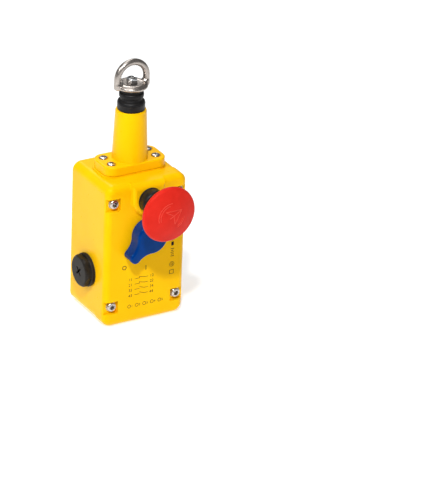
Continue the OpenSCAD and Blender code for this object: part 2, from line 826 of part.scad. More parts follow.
// Cone on the rod that pushes the plungers apart as the rod rises
module cam_sleeve() {
    color("white") translate([0, 0, cam_bottom_z]) difference() {
        cylinder(r1 = cam_r_bottom, r2 = cam_r_top, h = cam_len);
        translate([0, 0, -1]) cylinder(r = rod_r + 0.03, h = cam_len + 2);
    }
}

// Arm on the foot of the rod, with the flag that shows in the window
module tension_pointer() {
    flag_x = window_x - flag_w / 2;
    color("yellowgreen") translate([0, 0, arm_z]) {
        difference() {
            union() {
                cylinder(r = rod_r + 2, h = arm_t);
                translate([-arm_w / 2, arm_y, 0]) cube([arm_w, -arm_y - rod_r, arm_t]);
                translate([-arm_w / 2, arm_y, 0]) cube([flag_x + flag_w + arm_w / 2, arm_w, arm_t]);
                translate([flag_x, flag_y, 0]) cube([flag_w, arm_y - flag_y + 1, arm_t]);
                translate([flag_x, flag_y, 0]) cube([flag_w, flag_t, flag_h]);
            }
            translate([0, 0, -1]) cylinder(r = rod_r + 0.03, h = arm_t + 2);
        }
    }
}

// Webs that blend the hub into the pointer, with a hollow on each side
module knob_neck(t) {
    cx = knob_tip_w / 2 + knob_neck_r;
    cy = -sqrt(pow(knob_r + knob_neck_r, 2) - pow(cx, 2));
    k = knob_r / (knob_r + knob_neck_r);
    for (m = [0, 1]) mirror([m, 0, 0]) difference() {
        linear_extrude(t) polygon([[0, 0], [cx * k, cy * k], [cx, cy], [0, cy]]);
        translate([cx, cy, -1]) cylinder(r = knob_neck_r, h = t + 2);
    }
}

// Knob body drawn with its pointer straight down
module knob_solid(t, f) {
    tip_x = knob_tip_w / 2 - knob_tip_r;
    round_pad(knob_r, t, f);
    knob_neck(t - f);
    bar_pad(knob_tip_w, -knob_len + knob_tip_r, 0, t, f);
    for (s = [-1, 1]) translate([s * tip_x, -knob_len + knob_tip_r, 0]) round_pad(knob_tip_r, t, f);
    translate([0, -knob_len + knob_tip_r, 0]) rotate([0, 0, 90]) bar_pad(2 * knob_tip_r, -tip_x, tip_x, t, f);
}

module reset_knob() {
    color("#0a3f8f") facing(face_y - knob_gap) translate([0, knob_z, 0]) rotate([0, 0, -knob_off])
        difference() {
            knob_solid(knob_t, knob_edge);
            translate([0, 0, -1]) cylinder(r = shaft_r + 0.02, h = knob_socket + 1);
        }
}

module knob_shaft() {
    top_y = face_y - knob_gap - knob_socket + 0.2;
    color("silver") facing(shaft_end_y) translate([0, knob_z, 0]) difference() {
        cylinder(r = shaft_r, h = shaft_end_y - top_y);
        translate([0, 0, shaft_end_y - knob_clip_y - clip_t]) difference() {
            cylinder(r = shaft_r + 1, h = clip_t);
            translate([0, 0, -1]) cylinder(r = shaft_r - 0.6, h = clip_t + 2);
        }
    }
}

// Cam behind the lid that holds the mechanism when the knob is at OFF
module latch_cam() {
    color("whitesmoke") facing(latch_y + latch_t) translate([0, knob_z, 0]) rotate([0, 0, -knob_off])
        difference() {
            cylinder(r = latch_r, h = latch_t);
            translate([0, 0, -1]) cylinder(r = shaft_r + 0.03, h = latch_t + 2);
            for (a = [0, knob_off]) rotate([0, 0, 180 + a])
                translate([0, latch_r + 0.8, -1]) cylinder(r = 2, h = latch_t + 2);
        }
}

module knob_circlip() {
    color("dimgray") facing(knob_clip_y + clip_t - 0.05) translate([0, knob_z, 0])
        circlip(shaft_r - 0.57, shaft_r + 1.6, clip_t - 0.1);
}

// Mushroom button with a low crown and a hub for the stem
module estop_button() {
    crown_r = (pow(button_r - button_rim, 2) + pow(button_crown, 2)) / (2 * button_crown);
    color("#d32f2f") facing(button_y) translate([0, estop_z, 0]) difference() {
        rotate_extrude() {
            translate([button_r - button_rim, 0]) circle(button_rim, $fn = 32);
            translate([0, -button_rim]) square([button_r - button_rim, 2 * button_rim]);
            intersection() {
                translate([0, button_rim + button_crown - crown_r]) circle(crown_r, $fn = 256);
                square([button_r - button_rim, 20]);
            }
            polygon([[0, 0], [button_r - 6, 0], [button_r - 5, -button_rim],
                [button_hub_r, button_y - button_hub_y], [0, button_y - button_hub_y]]);
        }
        translate([0, 0, button_y - button_hub_y - 1]) cylinder(r = stem_r + 0.02, h = 5.5);
    }
}

module estop_stem() {
    top_y = button_hub_y - 4.3;
    color("silver") facing(stem_end_y) translate([0, estop_z, 0]) difference() {
        cylinder(r = stem_r, h = stem_end_y - top_y);
        translate([0, 0, stem_end_y - bush_back_y - 0.3 - clip_t]) difference() {
            cylinder(r = stem_r + 1, h = clip_t);
            translate([0, 0, -1]) cylinder(r = stem_r - 0.6, h = clip_t + 2);
        }
    }
}

module estop_circlip() {
    color("dimgray") facing(bush_back_y + 0.3 + clip_t - 0.05) translate([0, estop_z, 0])
        circlip(stem_r - 0.57, stem_r + 1.6, clip_t - 0.1);
}

// Plunger on the right; its nose follows the cone
module plunger() {
    translate([plunger_x, 0, plunger_z]) rotate([0, 90, 0])
        rotate_extrude() intersection() {
            union() {
                translate([0, plunger_r]) square([plunger_r, plunger_len - plunger_r]);
                translate([0, plunger_r]) circle(plunger_r, $fn = 32);
            }
            square([plunger_r, plunger_len]);
        }
}

module plunger_right() {
    color("firebrick") plunger();
}

module plunger_left() {
    color("firebrick") mirror([1, 0, 0]) plunger();
}

base_housing();
lid();
lid_gasket();
lid_screws();
snout();
snout_gasket();
snout_screws();
rod_bush();
conduit_plug();
plug_seal();
chassis_plate();
chassis_screws();
contact_block_left();
contact_block_right();
terminal_screws();
earth_screw();
window_lens();
estop_bush();
knob_seal();
rope_gaiter();
main_spring();
estop_gaiter();
estop_spring();
pull_rod();
eye_nut();
lock_nut();
spring_plate();
rod_circlips();
cam_sleeve();
tension_pointer();
reset_knob();
knob_shaft();
latch_cam();
knob_circlip();
estop_button();
estop_stem();
estop_circlip();
plunger_left();
plunger_right();
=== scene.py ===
"""Rope pull safety switch: castings, rubber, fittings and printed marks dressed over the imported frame."""

import json
import math

import bmesh
import bpy
from mathutils import Matrix, Vector


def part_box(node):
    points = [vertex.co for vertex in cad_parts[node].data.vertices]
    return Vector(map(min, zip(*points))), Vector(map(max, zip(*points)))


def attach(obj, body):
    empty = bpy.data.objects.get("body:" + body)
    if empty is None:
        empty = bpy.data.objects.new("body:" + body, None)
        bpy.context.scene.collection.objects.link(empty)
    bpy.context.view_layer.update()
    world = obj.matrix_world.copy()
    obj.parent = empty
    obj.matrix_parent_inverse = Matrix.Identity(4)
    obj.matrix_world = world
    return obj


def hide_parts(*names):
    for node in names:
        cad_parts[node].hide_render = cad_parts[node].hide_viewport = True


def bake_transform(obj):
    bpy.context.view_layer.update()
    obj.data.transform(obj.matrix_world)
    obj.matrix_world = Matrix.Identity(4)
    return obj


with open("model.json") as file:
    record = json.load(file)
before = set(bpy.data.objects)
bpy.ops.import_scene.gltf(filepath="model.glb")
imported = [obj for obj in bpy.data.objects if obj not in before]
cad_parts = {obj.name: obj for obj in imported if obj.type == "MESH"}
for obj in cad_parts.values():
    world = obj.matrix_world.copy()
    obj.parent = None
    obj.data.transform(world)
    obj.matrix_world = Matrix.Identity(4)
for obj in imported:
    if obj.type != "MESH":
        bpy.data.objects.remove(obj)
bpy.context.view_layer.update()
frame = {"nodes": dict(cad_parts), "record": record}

MM = 0.001
joints = {j["name"]: j for j in frame["record"]["behaviour"]["joints"]}


# ---- Sizes read from the frame, in millimetres -------------------------------------------------

def corners(node):
    """Lowest and highest corner of a CAD node, in millimetres."""
    low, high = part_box(node)
    return [c / MM for c in low], [c / MM for c in high]


def solids_of(node):
    """Lowest and highest corner of every separate solid of a CAD node, in millimetres."""
    bm = bmesh.new()
    bm.from_mesh(frame["nodes"][node].data)
    bmesh.ops.remove_doubles(bm, verts=bm.verts, dist=1e-6)
    seen, boxes = set(), []
    for start in bm.verts:
        if start in seen:
            continue
        seen.add(start)
        queue, points = [start], []
        while queue:
            vert = queue.pop()
            points.append(vert.co / MM)
            for edge in vert.link_edges:
                other = edge.other_vert(vert)
                if other not in seen:
                    seen.add(other)
                    queue.append(other)
        boxes.append(([min(p[i] for p in points) for i in range(3)],
                      [max(p[i] for p in points) for i in range(3)]))
    bm.free()
    return boxes


def middle(box):
    """The point half way between two corners."""
    return [(a + b) / 2 for a, b in zip(*box)]


base_low, base_high = corners("base_housing")
eye_low, eye_high = corners("eye_nut")
button_low, button_high = corners("estop_button")
button_z = middle(corners("estop_stem"))[2]
snout_top = corners("snout")[1][2]
seat_y = corners("lid")[0][1]  # front of the seat that carries the button
face_y, knob_z = (metres / MM for metres in joints["knob_turn"]["pos_m"][1:])


# ---- Finishes ----------------------------------------------------------------------------------

NOISE_SPAN = (0.3, 0.7)  # where nearly all values of a noise lie
TONE_SPAN = (0.35, 0.65)  # the part of a noise over which one tone runs into the other


def graph(name):
    """An empty material with its shader: (material, node tree, shader)."""
    material = bpy.data.materials.new(name)
    material.use_nodes = True
    tree = material.node_tree
    return material, tree, tree.nodes["Principled BSDF"]


def coordinates(tree, stretch=(1, 1, 1)):
    """The piece's own coordinates, squeezed or drawn out along an axis."""
    place = tree.nodes.new("ShaderNodeTexCoord")
    mapping = tree.nodes.new("ShaderNodeMapping")
    mapping.inputs["Scale"].default_value = stretch
    tree.links.new(place.outputs["Object"], mapping.inputs["Vector"])
    return mapping.outputs["Vector"]


def grain(tree, vector, size_mm, detail=3.0):
    """Noise whose spots are about size_mm across."""
    noise = tree.nodes.new("ShaderNodeTexNoise")
    noise.inputs["Scale"].default_value = 1 / (size_mm * MM)
    noise.inputs["Detail"].default_value = detail
    noise.inputs["Roughness"].default_value = 0.55
    tree.links.new(vector, noise.inputs["Vector"])
    return noise.outputs["Fac"]


def between(tree, factor, low, high):
    """Maps a noise to values from low to high."""
    span = tree.nodes.new("ShaderNodeMapRange")
    for socket, value in zip(("From Min", "From Max", "To Min", "To Max"), (*NOISE_SPAN, low, high)):
        span.inputs[socket].default_value = value
    tree.links.new(factor, span.inputs["Value"])
    return span.outputs["Result"]


def two_tone(tree, factor, first, second):
    """Colour that runs from first to second with a noise."""
    ramp = tree.nodes.new("ShaderNodeValToRGB")
    for stop, position, tone in zip(ramp.color_ramp.elements, TONE_SPAN, (first, second)):
        stop.position, stop.color = position, (*tone, 1)
    tree.links.new(factor, ramp.inputs["Fac"])
    return ramp.outputs["Color"]


def relief(tree, height, depth_mm, below=None):
    """Bump of the given depth, over another bump if there is one."""
    bump = tree.nodes.new("ShaderNodeBump")
    bump.inputs["Strength"].default_value = 1.0
    bump.inputs["Distance"].default_value = depth_mm * MM
    tree.links.new(height, bump.inputs["Height"])
    if below is not None:
        tree.links.new(below, bump.inputs["Normal"])
    return bump.outputs["Normal"]


def finish(name, tone, other_tone, spot_mm, rough, rough_swing=0.05, skin_mm=0.0, skin_depth=0.0,
           metal=0.0, stretch=(1, 1, 1), specular=0.5, sheen_tint=(1, 1, 1)):
    """A surface with two close tones, uneven gloss and a fine skin."""
    material, tree, shader = graph(name)
    vector = coordinates(tree, stretch)
    spots = grain(tree, vector, spot_mm)
    tree.links.new(two_tone(tree, spots, tone, other_tone), shader.inputs["Base Color"])
    tree.links.new(between(tree, spots, rough - rough_swing, rough + rough_swing),
                   shader.inputs["Roughness"])
    if skin_depth:
        skin = grain(tree, vector, skin_mm, detail=2.0)
        tree.links.new(relief(tree, skin, skin_depth), shader.inputs["Normal"])
    shader.inputs["Metallic"].default_value = metal
    shader.inputs["Specular IOR Level"].default_value = specular
    shader.inputs["Specular Tint"].default_value = (*sheen_tint, 1)
    return material


def yellow_paint():
    """Gloss paint on a die casting, with a fine orange peel over a long, low swell."""
    material, tree, shader = graph("yellow_paint")
    vector = coordinates(tree)
    cloud = grain(tree, vector, 22, detail=4)
    tree.links.new(two_tone(tree, cloud, (0.95, 0.52, 0.001), (0.98, 0.545, 0.0015)),
                   shader.inputs["Base Color"])
    tree.links.new(between(tree, grain(tree, vector, 3.0), 0.27, 0.35), shader.inputs["Roughness"])
    swell = relief(tree, grain(tree, vector, 6.0, detail=1), 0.03)
    peel = relief(tree, grain(tree, vector, 0.7, detail=1), 0.006, below=swell)
    tree.links.new(peel, shader.inputs["Normal"])
    shader.inputs["Specular IOR Level"].default_value = 0.2
    shader.inputs["Specular Tint"].default_value = (1.0, 0.72, 0.08, 1)
    return material


def brushed(name, tone, other_tone, rough, stretch):
    """Metal with fine drawn or turned lines along one direction."""
    return finish(name, tone, other_tone, 0.35, rough, rough_swing=0.07, skin_mm=0.25, skin_depth=0.004,
                  metal=1.0, stretch=stretch)


def clear_plastic():
    """Clear moulded plastic for the window."""
    material, tree, shader = graph("clear_lens")
    vector = coordinates(tree)
    tree.links.new(between(tree, grain(tree, vector, 2.0), 0.04, 0.10), shader.inputs["Roughness"])
    tree.links.new(two_tone(tree, grain(tree, vector, 5.0), (0.86, 0.90, 0.90), (0.92, 0.95, 0.95)),
                   shader.inputs["Base Color"])
    shader.inputs["Transmission Weight"].default_value = 0.9
    shader.inputs["IOR"].default_value = 1.5
    return material


paint = yellow_paint()
gaiter_rubber = finish("gaiter_rubber", (0.007, 0.007, 0.008), (0.013, 0.012, 0.012), 2.5, 0.42, 0.07,
                       0.35, 0.008, specular=0.17)
seal_rubber = finish("seal_rubber", (0.012, 0.012, 0.012), (0.022, 0.022, 0.022), 1.5, 0.65, 0.06,
                     0.3, 0.02)
plug_plastic = finish("plug_plastic", (0.012, 0.010, 0.008), (0.020, 0.017, 0.014), 3.0, 0.45, 0.05,
                      0.28, 0.008, specular=0.14)
guide_plastic = finish("guide_plastic", (0.035, 0.035, 0.036), (0.050, 0.050, 0.052), 2.0, 0.4, 0.05,
                       0.3, 0.01)
red_plastic = finish("red_plastic", (0.62, 0.019, 0.011), (0.68, 0.023, 0.014), 6.0, 0.38, 0.04,
                     0.22, 0.004, specular=0.2, sheen_tint=(1, 0.25, 0.2))
# Lighter red for the twist lines: a painted highlight, standing in for the light that the raised ridges catch
painted_highlight_red = finish("painted_highlight_red", (0.72, 0.050, 0.032), (0.78, 0.062, 0.040), 2.0, 0.34, 0.04,
                    0.22, 0.004, specular=0.3, sheen_tint=(1, 0.5, 0.4))
blue_plastic = finish("blue_plastic", (0.0, 0.023, 0.150), (0.0, 0.029, 0.185), 5.0, 0.18, 0.03,
                      1.2, 0.003, specular=0.5, sheen_tint=(0.05, 0.35, 1))
zinc = finish("zinc_plate", (0.50, 0.47, 0.44), (0.60, 0.57, 0.54), 1.2, 0.27, 0.06, 0.3, 0.004, metal=1.0)
bright_zinc = finish("bright_zinc", (0.70, 0.72, 0.74), (0.84, 0.86, 0.88), 1.6, 0.15, 0.05, 0.5, 0.003,
                     metal=1.0)
stainless = finish("polished_stainless", (0.40, 0.36, 0.33), (0.48, 0.435, 0.395), 2.6, 0.31, 0.05, 0.5,
                   0.003, metal=1.0)
turned_steel = brushed("turned_stainless", (0.50, 0.49, 0.47), (0.66, 0.65, 0.63), 0.24, (0.15, 0.15, 1))
spring_wire = brushed("spring_wire", (0.30, 0.30, 0.31), (0.45, 0.45, 0.46), 0.30, (1, 1, 1))
chassis_steel = brushed("zinc_sheet", (0.60, 0.61, 0.60), (0.75, 0.76, 0.76), 0.34, (0.08, 1, 1))
bush_brass = brushed("turned_brass", (0.62, 0.43, 0.17), (0.74, 0.54, 0.24), 0.26, (0.15, 0.15, 1))
block_plastic = finish("block_plastic", (0.030, 0.031, 0.034), (0.045, 0.046, 0.050), 3.0, 0.42, 0.05,
                       0.4, 0.012)
acetal = finish("acetal", (0.74, 0.74, 0.71), (0.82, 0.82, 0.79), 4.0, 0.32, 0.05, 0.5, 0.01)
pointer_plastic = finish("pointer_plastic", (0.50, 0.66, 0.03), (0.56, 0.72, 0.045), 3.0, 0.38, 0.05,
                         0.4, 0.01)
plunger_plastic = finish("plunger_plastic", (0.36, 0.03, 0.02), (0.45, 0.045, 0.03), 2.0, 0.34, 0.05,
                         0.3, 0.008)
ink = finish("black_ink", (0.006, 0.005, 0.004), (0.014, 0.012, 0.010), 0.9, 0.55, 0.08, 0.15, 0.004,
             specular=0.1)
bare_metal = finish("bare_metal", (0.50, 0.50, 0.50), (0.62, 0.62, 0.61), 1.0, 0.34, 0.06, 0.3, 0.006,
                    metal=1.0)
lens_plastic = clear_plastic()

STAYING = {
    "lid_gasket": seal_rubber, "snout_gasket": seal_rubber, "plug_seal": seal_rubber,
    "knob_seal": seal_rubber, "rod_bush": bush_brass, "chassis_plate": chassis_steel,
    "contact_block_left": block_plastic, "contact_block_right": block_plastic,
    "earth_screw": zinc, "window_lens": lens_plastic, "estop_bush": guide_plastic,
    "pull_rod": turned_steel, "spring_plate": turned_steel, "rod_circlips": spring_wire,
    "cam_sleeve": acetal, "tension_pointer": pointer_plastic, "knob_shaft": turned_steel,
    "latch_cam": acetal, "knob_circlip": spring_wire, "estop_stem": turned_steel,
    "estop_circlip": spring_wire, "plunger_left": plunger_plastic, "plunger_right": plunger_plastic,
}


# ---- Shapes ------------------------------------------------------------------------------------

def mesh_from(verts, faces):
    """A mesh from points and the faces between them."""
    mesh = bpy.data.meshes.new("shape")
    mesh.from_pydata([tuple(v) for v in verts], [], faces)
    mesh.validate()
    return mesh


def lathe(profile, steps=96, closed=False):
    """Turns (radius, height) points round Z. A closed profile makes a ring."""
    verts, faces, rows = [], [], []
    for radius, height in profile:
        if radius < 1e-6:
            rows.append([len(verts)])
            verts.append((0, 0, height))
        else:
            rows.append(list(range(len(verts), len(verts) + steps)))
            for k in range(steps):
                a = math.tau * k / steps
                verts.append((radius * math.cos(a), radius * math.sin(a), height))
    pairs = list(zip(rows, rows[1:])) + ([(rows[-1], rows[0])] if closed else [])
    for low, high in pairs:
        for k in range(steps):
            n = (k + 1) % steps
            if len(low) == 1 and len(high) == 1:
                continue
            if len(low) == 1:
                faces.append((low[0], high[n], high[k]))
            elif len(high) == 1:
                faces.append((low[k], low[n], high[0]))
            else:
                faces.append((low[k], low[n], high[n], high[k]))
    return mesh_from(verts, faces)


def arc(cx, cy, radius, start, end, steps=8):
    """Points on an arc, its angles in degrees."""
    return [(cx + radius * math.cos(math.radians(start + (end - start) * i / steps)),
             cy + radius * math.sin(math.radians(start + (end - start) * i / steps)))
            for i in range(steps + 1)]


def oval(across, rise, count):
    """Points round an oval section."""
    return [(across * math.cos(math.tau * k / count), rise * math.sin(math.tau * k / count))
            for k in range(count)]


def sweep(path, section, up=(0, 0, 1)):
    """Carries a flat section (u, v) along an open path, with u across and v towards up."""
    path = [Vector(p) for p in path]
    up, count, verts = Vector(up), len(path), []
    for i, p in enumerate(path):
        along = (path[min(i + 1, count - 1)] - path[max(i - 1, 0)]).normalized()
        side = along.cross(up).normalized()
        rise = side.cross(along)
        verts += [p + side * u + rise * v for u, v in section]
    n = len(section)
    faces = []
    for i in range(count - 1):
        for k in range(n):
            m = (k + 1) % n
            faces.append((i * n + k, i * n + m, (i + 1) * n + m, (i + 1) * n + k))
    faces += [tuple(range(n)), tuple(reversed(range((count - 1) * n, count * n)))]
    return mesh_from(verts, faces)


def slab(outline, low, high, edge=0.0, segments=3, both=False):
    """Prism over an outline, with a rounded top edge, and a rounded bottom edge if both."""
    bm = bmesh.new()
    face = bm.faces.new([bm.verts.new((x, y, low)) for x, y in outline])
    made = bmesh.ops.extrude_face_region(bm, geom=[face])
    top = [v for v in made["geom"] if isinstance(v, bmesh.types.BMVert)]
    bmesh.ops.translate(bm, verts=top, vec=(0, 0, high - low))
    bmesh.ops.recalc_face_normals(bm, faces=bm.faces)
    if edge:
        rim = [e for e in bm.edges if all(abs(v.co.z - high) < 1e-9 for v in e.verts)
               or (both and all(abs(v.co.z - low) < 1e-9 for v in e.verts))]
        bmesh.ops.bevel(bm, geom=rim, offset=edge, segments=segments, profile=0.5, affect="EDGES",
                        clamp_overlap=True)
    mesh = bpy.data.meshes.new("slab")
    bm.to_mesh(mesh)
    bm.free()
    return mesh


def rolled_slab(outline, low, high, edge):
    """Prism over a smooth outline, its top edge rolled over with the given radius."""
    count, steps = len(outline), 9
    area = sum(outline[i - 1][0] * outline[i][1] - outline[i][0] * outline[i - 1][1] for i in range(count))
    inwards = []
    for i in range(count):
        before, here, after = (Vector(outline[(i + k) % count]) for k in (-1, 0, 1))
        first, second = ((b - a).normalized().orthogonal() for a, b in ((before, here), (here, after)))
        inwards.append((first + second) / (1 + first.dot(second)) * math.copysign(1, area))
    bends = [math.pi / 2 * k / steps for k in range(steps + 1)]
    rings = [(0, low)] + [(edge * (1 - math.cos(a)), high - edge + edge * math.sin(a)) for a in bends]
    verts = [(x + side.x * inset, y + side.y * inset, z) for inset, z in rings
             for (x, y), side in zip(outline, inwards)]
    last = (len(rings) - 1) * count
    faces = []
    for ring_start in range(0, last, count):
        for k in range(count):
            here, beside = ring_start + k, ring_start + (k + 1) % count
            faces.append((here, beside, beside + count, here + count))
    faces += [tuple(range(count)), tuple(range(last, last + count))]
    return mesh_from(verts, faces)


def joined(*meshes):
    """One mesh from several."""
    bm = bmesh.new()
    for mesh in meshes:
        bm.from_mesh(mesh)
    whole = bpy.data.meshes.new("joined")
    bm.to_mesh(whole)
    bm.free()
    return whole


def moved(mesh, matrix):
    """A copy of a mesh, moved or mirrored."""
    mesh = mesh.copy()
    mesh.transform(matrix)
    if matrix.determinant() < 0:
        mesh.flip_normals()
    return mesh


def facing(y, x=0.0, z=0.0, turn=0.0):
    """Takes a shape drawn flat, with Z outwards, to the lid side at depth y."""
    return (Matrix.Translation((x, y, z)) @ Matrix.Rotation(math.pi / 2, 4, "X")
            @ Matrix.Rotation(turn, 4, "Z"))


def tidy(mesh, angle=32, merge=1e-4):
    """Merges doubles, turns faces outwards, and shades smooth up to the angle."""
    bm = bmesh.new()
    bm.from_mesh(mesh)
    bmesh.ops.remove_doubles(bm, verts=bm.verts, dist=merge)
    bmesh.ops.recalc_face_normals(bm, faces=bm.faces)
    bm.to_mesh(mesh)
    bm.free()
    mesh.shade_smooth()
    mesh.set_sharp_from_angle(angle=math.radians(angle))
    return mesh


def add(name, mesh, material, body, stands_for=(), angle=32):
    """Puts a mesh, drawn in millimetres, into the scene as a piece; one that blends has no body here."""
    mesh = tidy(mesh.copy(), angle)
    mesh.transform(Matrix.Scale(MM, 4))
    mesh.materials.clear()
    mesh.materials.append(material)
    mesh.name = name
    piece = bpy.data.objects.new(name, mesh)
    bpy.context.scene.collection.objects.link(piece)
    if stands_for:
        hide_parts(*stands_for)
    if body:
        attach(piece, body)
    return piece


def flattened(piece):
    """Turns an object's modifiers into its mesh."""
    shape = bpy.data.meshes.new_from_object(piece.evaluated_get(bpy.context.evaluated_depsgraph_get()))
    piece.modifiers.clear()
    piece.data = shape
    return piece


def casting(node, name, width, material):
    """A cast or moulded part: the CAD shape, its hard edges eased by width where its faces leave room."""
    bm = bmesh.new()
    bm.from_mesh(frame["nodes"][node].data)
    bmesh.ops.remove_doubles(bm, verts=bm.verts, dist=2e-6)
    bmesh.ops.dissolve_limit(bm, angle_limit=math.radians(1.0), verts=bm.verts, edges=bm.edges)
    mesh = bpy.data.meshes.new(name)
    bm.to_mesh(mesh)
    bm.free()
    mesh.materials.clear()
    mesh.materials.append(material)
    mesh.shade_smooth()
    piece = bpy.data.objects.new(name, mesh)
    bpy.context.scene.collection.objects.link(piece)
    bevel = piece.modifiers.new("edges", "BEVEL")
    bevel.width = width * MM
    bevel.segments = 3
    bevel.limit_method = "ANGLE"
    bevel.angle_limit = math.radians(28)
    bevel.use_clamp_overlap = True
    bevel.miter_outer = "MITER_ARC"
    level = piece.modifiers.new("shading", "WEIGHTED_NORMAL")
    level.weight = 60
    level.keep_sharp = True
    flattened(piece)
    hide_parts(node)
    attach(piece, "housing")
    return piece


# ---- Rows of repeated parts --------------------------------------------------------------------

def group_input(tree, name, kind, value):
    """Gives a node group an input and returns the input's identifier."""
    socket = tree.interface.new_socket(name=name, in_out="INPUT", socket_type=kind)
    if value is not None:
        socket.default_value = value
    return socket.identifier


def set_out(name, places, pattern, material, body, stands_for, spread, seed):
    """Geometry Nodes: the pattern, in millimetres, at every (point, direction), turned by up to spread."""
    source = bpy.data.objects.new(name + "_pattern", tidy(moved(pattern, Matrix.Scale(MM, 4)), merge=1e-8))
    points = bpy.data.meshes.new(name)
    points.from_pydata([tuple(Vector(p) * MM) for p, _ in places], [], [])
    aim = points.attributes.new("direction", "FLOAT_VECTOR", "POINT")
    for i, (_, direction) in enumerate(places):
        aim.data[i].vector = direction
    piece = bpy.data.objects.new(name, points)
    bpy.context.scene.collection.objects.link(piece)

    tree = bpy.data.node_groups.new(name + "_rows", "GeometryNodeTree")
    group_input(tree, "Places", "NodeSocketGeometry", None)
    tree.interface.new_socket(name="Result", in_out="OUTPUT", socket_type="NodeSocketGeometry")
    ids = {label: group_input(tree, label, kind, value) for label, kind, value in (
        ("Pattern", "NodeSocketObject", None), ("Turn", "NodeSocketFloat", 0.0),
        ("Seed", "NodeSocketInt", 1), ("Finish", "NodeSocketMaterial", None))}
    new = tree.nodes.new
    start, end = new("NodeGroupInput"), new("NodeGroupOutput")
    pattern_info, on_points = new("GeometryNodeObjectInfo"), new("GeometryNodeInstanceOnPoints")
    to_points, direction = new("GeometryNodeMeshToPoints"), new("GeometryNodeInputNamedAttribute")
    align, spin = new("FunctionNodeAlignRotationToVector"), new("FunctionNodeRotateRotation")
    chance, combine = new("FunctionNodeRandomValue"), new("ShaderNodeCombineXYZ")
    turn_low = new("ShaderNodeMath")
    real, paint_it = new("GeometryNodeRealizeInstances"), new("GeometryNodeSetMaterial")
    direction.data_type = "FLOAT_VECTOR"
    direction.inputs["Name"].default_value = "direction"
    align.axis = "Z"
    spin.rotation_space = "LOCAL"
    turn_low.operation = "MULTIPLY"
    turn_low.inputs[1].default_value = -1
    link = tree.links.new
    link(start.outputs["Places"], to_points.inputs["Mesh"])
    link(to_points.outputs["Points"], on_points.inputs["Points"])
    link(start.outputs["Pattern"], pattern_info.inputs["Object"])
    link(pattern_info.outputs["Geometry"], on_points.inputs["Instance"])
    link(direction.outputs["Attribute"], align.inputs["Vector"])
    link(start.outputs["Turn"], turn_low.inputs[0])
    link(turn_low.outputs[0], chance.inputs[2])
    link(start.outputs["Turn"], chance.inputs[3])
    link(start.outputs["Seed"], chance.inputs["Seed"])
    link(chance.outputs[1], combine.inputs["Z"])
    link(align.outputs["Rotation"], spin.inputs["Rotation"])
    link(combine.outputs["Vector"], spin.inputs["Rotate By"])
    link(spin.outputs["Rotation"], on_points.inputs["Rotation"])
    link(on_points.outputs["Instances"], real.inputs["Geometry"])
    link(real.outputs["Geometry"], paint_it.inputs["Geometry"])
    link(start.outputs["Finish"], paint_it.inputs["Material"])
    link(paint_it.outputs["Geometry"], end.inputs["Result"])

    rows = piece.modifiers.new("rows", "NODES")
    rows.node_group = tree
    rows[ids["Pattern"]], rows[ids["Turn"]] = source, spread
    rows[ids["Seed"]], rows[ids["Finish"]] = seed, material
    bpy.context.view_layer.update()
    flattened(piece)
    bpy.data.objects.remove(source)
    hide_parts(*stands_for)
    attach(piece, body)


def cut(mesh, cutter):
    """The first mesh with the second cut away."""
    a = bpy.data.objects.new("a", tidy(mesh.copy()))
    b = bpy.data.objects.new("b", tidy(cutter.copy()))
    for thing in (a, b):
        bpy.context.scene.collection.objects.link(thing)
    knife = a.modifiers.new("cut", "BOOLEAN")
    knife.object, knife.operation, knife.solver = b, "DIFFERENCE", "EXACT"
    flattened(a)
    result = a.data
    bpy.data.objects.remove(a)
    bpy.data.objects.remove(b)
    return result


def pan_head(radius, height, recess="cross", shank=0.0, shank_r=0.0):
    """Domed screw head standing on z = 0, with a cross or a star recess and a short shank."""
    r, h = radius, height
    body = [(0, -shank)] + ([(shank_r, -shank), (shank_r, 0)] if shank else []) + [(r * 0.97, 0)]
    dome = [(r, h * 0.10), (r, h * 0.42)] + arc(r - h * 0.5, h * 0.42, h * 0.5, 0, 70, 6)
    crown = [((r - h * 0.36) * (1 - t) ** 0.9, h * (0.89 + 0.11 * (1 - (1 - t) ** 2)))
             for t in (0.2, 0.45, 0.7, 0.9)]
    head = lathe(body + dome + crown + [(0, h)], 48)
    if recess == "cross":
        long, wide = r * 0.60, r * 0.11
        wing = slab([(-long, -wide), (long, -wide), (long, wide), (-long, wide)], h * 0.35, h * 1.4)
        for turn in (0, math.pi / 2):
            head = cut(head, moved(wing, Matrix.Rotation(turn, 4, "Z")))
        return cut(head, lathe([(0, h * 0.15), (r * 0.2, h * 0.3), (r * 0.30, h * 1.3), (0, h * 1.3)], 24))
    star = []
    for k in range(12):
        reach_out, turn = r * (0.48 if k % 2 else 0.64), math.tau * k / 12
        star.append((reach_out * math.cos(turn), reach_out * math.sin(turn)))
    return cut(head, slab(star, -h * 0.1, h * 1.4))


def flat_washer(outer, inner, height):
    """Washer lying on z = 0, its outer edges broken."""
    return lathe([(inner, 0), (outer - 0.1, 0), (outer, 0.1), (outer, height - 0.1),
                  (outer - 0.1, height), (inner, height)], 48, closed=True)


# ---- Castings ----------------------------------------------------------------------------------

casting("base_housing", "base_casting", 0.45, paint)
casting("lid", "lid_casting", 0.45, paint)
casting("snout", "snout_casting", 0.5, paint)
plug = casting("conduit_plug", "blanking_plug", 0.45, plug_plastic)

PLUG_HEAD = 0.955  # width of the visible plug head, to the solid's
plug_z = middle(corners("conduit_plug"))[2] * MM
for vert in plug.data.vertices:
    if vert.co.x < (base_low[0] - 0.2) * MM:
        vert.co.y *= PLUG_HEAD
        vert.co.z = plug_z + (vert.co.z - plug_z) * PLUG_HEAD

# ---- Screws ------------------------------------------------------------------------------------

WASHER = 0.5


def heads_on_lid_side(node, back):
    """Foot of every screw head of a CAD node that looks out of the lid side, this far back from its front."""
    foot_y = corners(node)[0][1] + back
    return [((x, foot_y, z), (0, -1, 0)) for x, _, z in map(middle, solids_of(node))]


